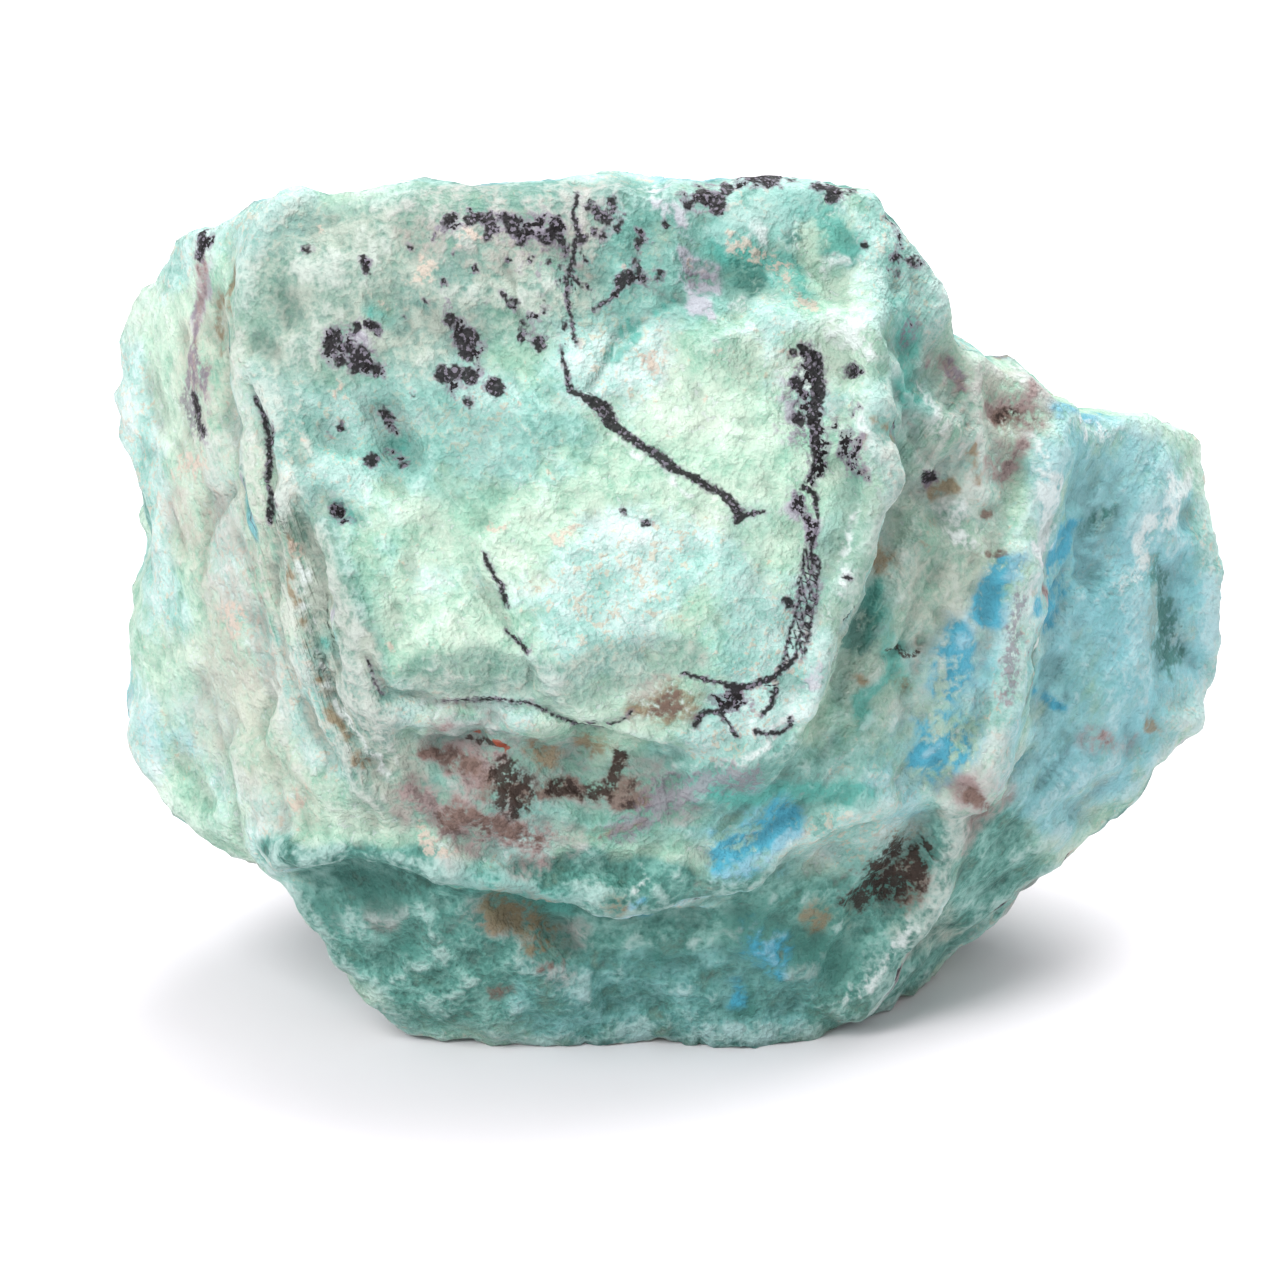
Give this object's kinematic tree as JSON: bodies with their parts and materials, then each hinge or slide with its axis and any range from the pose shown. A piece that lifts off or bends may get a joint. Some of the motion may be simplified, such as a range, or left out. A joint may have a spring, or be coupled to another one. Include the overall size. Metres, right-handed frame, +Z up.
{
  "type": "raw chrysocolla",
  "caption": "Rough lump of raw blue-green chrysocolla with a broad pale fracture face, ledges and a side lobe, resting on a flat broken base.",
  "frame": {"origin": "centre of the lump's bounding box, on the floor it rests on", "axes": "+Z up, -Y towards the broad pale fracture face, +X towards the side lobe, along the longest side"},
  "size_m": [0.061, 0.0434, 0.048],
  "materials": {
    "raw_chrysocolla": "matt to waxy broken mineral, mint green with black veins and brown stains"
  },
  "bodies": {
    "root": {"raw_chrysocolla": "raw_chrysocolla"}
  },
  "joints": []
}
